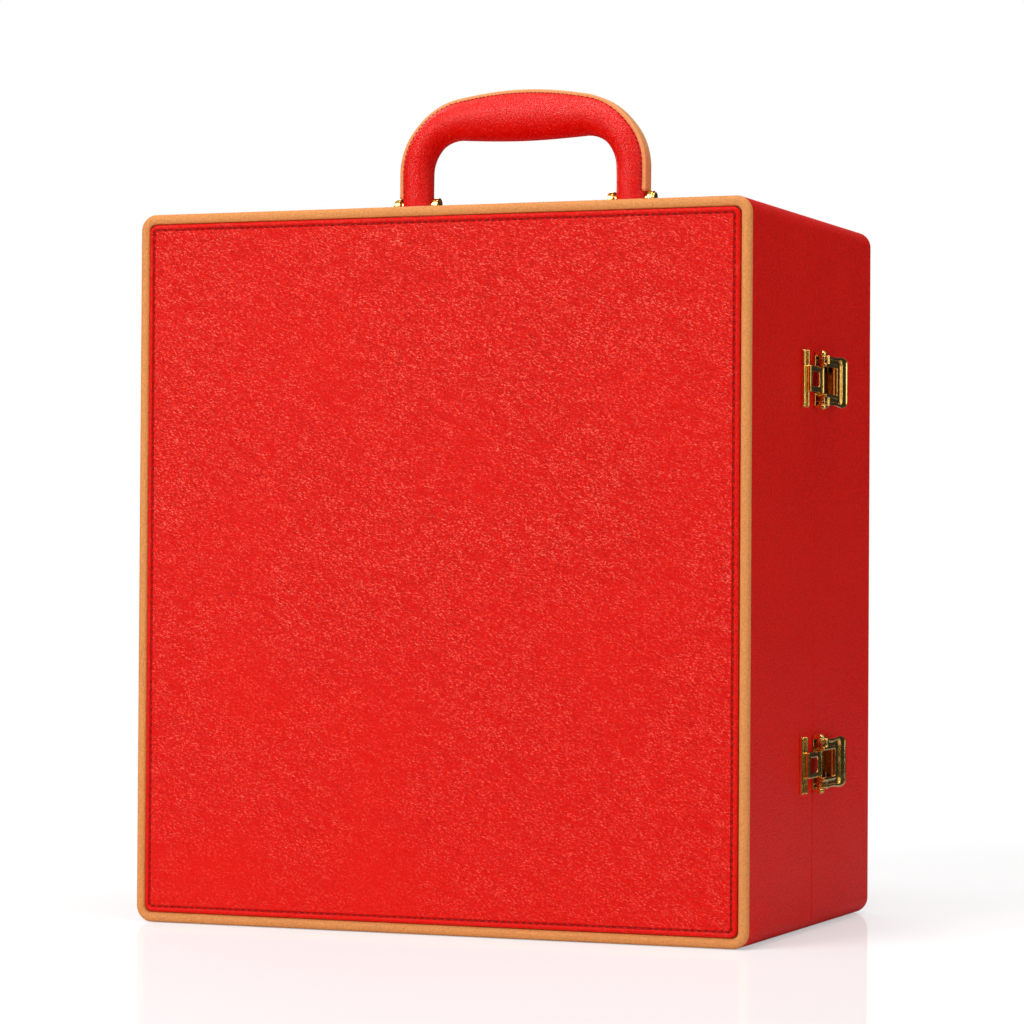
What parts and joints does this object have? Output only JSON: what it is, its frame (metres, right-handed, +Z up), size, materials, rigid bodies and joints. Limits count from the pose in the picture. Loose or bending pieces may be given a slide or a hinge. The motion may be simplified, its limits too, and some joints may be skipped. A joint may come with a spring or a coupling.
{
  "type": "leather wine case",
  "caption": "Upright leather wine case with a carrying handle, side draw latches and bottle bays in two halves that open like a book.",
  "frame": {"origin": "centre of the base of the closed case, on the surface it stands on", "axes": "+X to the latch wall, +Y from the front face to the back face, +Z up to the handle"},
  "size_m": [0.3315, 0.202, 0.4198],
  "materials": {
    "red_grained_leather": "glossy pebbled grain",
    "red_side_leather": "satin fine grain",
    "tan_leather": "satin smooth",
    "gold_metal": "polished",
    "core_steel": "plain",
    "board": "sawn",
    "lining_cloth": "short soft pile"
  },
  "bodies": {
    "back_half": {"back_top_board": "board", "back_bottom_board": "board", "back_hinge_board": "board", "back_latch_board": "board", "back_face_board": "board", "back_side_leather": "red_side_leather", "back_welt": "tan_leather", "back_panel": "red_grained_leather", "back_lining": "lining_cloth", "back_bottle_cradle": "lining_cloth", "back_neck_rest": "lining_cloth", "back_strap": "tan_leather", "back_strap_studs": "gold_metal", "alignment_tongue": "red_side_leather", "upper_hinge_case_leaf": "gold_metal", "lower_hinge_case_leaf": "gold_metal", "upper_hinge_pin": "gold_metal", "lower_hinge_pin": "gold_metal", "hinge_case_screws": "gold_metal", "upper_latch_base": "gold_metal", "lower_latch_base": "gold_metal", "upper_latch_lever_pins": "gold_metal", "lower_latch_lever_pins": "gold_metal", "latch_base_screws": "gold_metal", "left_handle_bracket": "gold_metal", "right_handle_bracket": "gold_metal", "left_handle_pin": "gold_metal", "right_handle_pin": "gold_metal", "handle_bracket_screws": "gold_metal"},
    "front_half": {"front_top_board": "board", "front_bottom_board": "board", "front_hinge_board": "board", "front_latch_board": "board", "front_face_board": "board", "front_side_leather": "red_side_leather", "front_welt": "tan_leather", "front_panel": "red_grained_leather", "front_lining": "lining_cloth", "front_bottle_cradle": "lining_cloth", "front_neck_rest": "lining_cloth", "front_strap": "tan_leather", "front_strap_studs": "gold_metal", "upper_hinge_lid_leaf": "gold_metal", "lower_hinge_lid_leaf": "gold_metal", "hinge_lid_screws": "gold_metal", "upper_latch_keeper": "gold_metal", "lower_latch_keeper": "gold_metal", "latch_keeper_screws": "gold_metal"},
    "handle": {"handle_core": "core_steel", "handle_grip": "red_grained_leather", "handle_band": "tan_leather"},
    "upper_latch_lever": {"upper_latch_lever": "gold_metal", "upper_latch_link_pin": "gold_metal"},
    "upper_latch_link": {"upper_latch_link": "gold_metal"},
    "lower_latch_lever": {"lower_latch_lever": "gold_metal", "lower_latch_link_pin": "gold_metal"},
    "lower_latch_link": {"lower_latch_link": "gold_metal"}
  },
  "joints": [
    {"name": "lid_hinge", "type": "hinge", "parent": "back_half", "child": "front_half", "pos_m": [-0.1623, 0, 0.175], "axis": [0, 0, -1], "range_deg": [0, 180]},
    {"name": "handle_swing", "type": "hinge", "parent": "back_half", "child": "handle", "pos_m": [0, 0.015, 0.3625], "axis": [1, 0, 0], "range_deg": [-85, 85]},
    {"name": "upper_latch_swing", "type": "hinge", "parent": "back_half", "child": "upper_latch_lever", "pos_m": [0.1627, 0.0023, 0.2688], "axis": [0, 0, -1], "range_deg": [0, 150]},
    {"name": "upper_latch_link_pivot", "type": "hinge", "parent": "upper_latch_lever", "child": "upper_latch_link", "pos_m": [0.16167, 0.00512, 0.2688], "axis": [0, 0, -1], "range_deg": [-150, 0]},
    {"name": "lower_latch_swing", "type": "hinge", "parent": "back_half", "child": "lower_latch_lever", "pos_m": [0.1627, 0.0023, 0.0812], "axis": [0, 0, -1], "range_deg": [0, 150]},
    {"name": "lower_latch_link_pivot", "type": "hinge", "parent": "lower_latch_lever", "child": "lower_latch_link", "pos_m": [0.16167, 0.00512, 0.0812], "axis": [0, 0, -1], "range_deg": [-150, 0]}
  ],
  "couplings": [
    {"joint": "upper_latch_link_pivot", "follows": "upper_latch_swing", "ratio": -1},
    {"joint": "lower_latch_link_pivot", "follows": "lower_latch_swing", "ratio": -1}
  ]
}
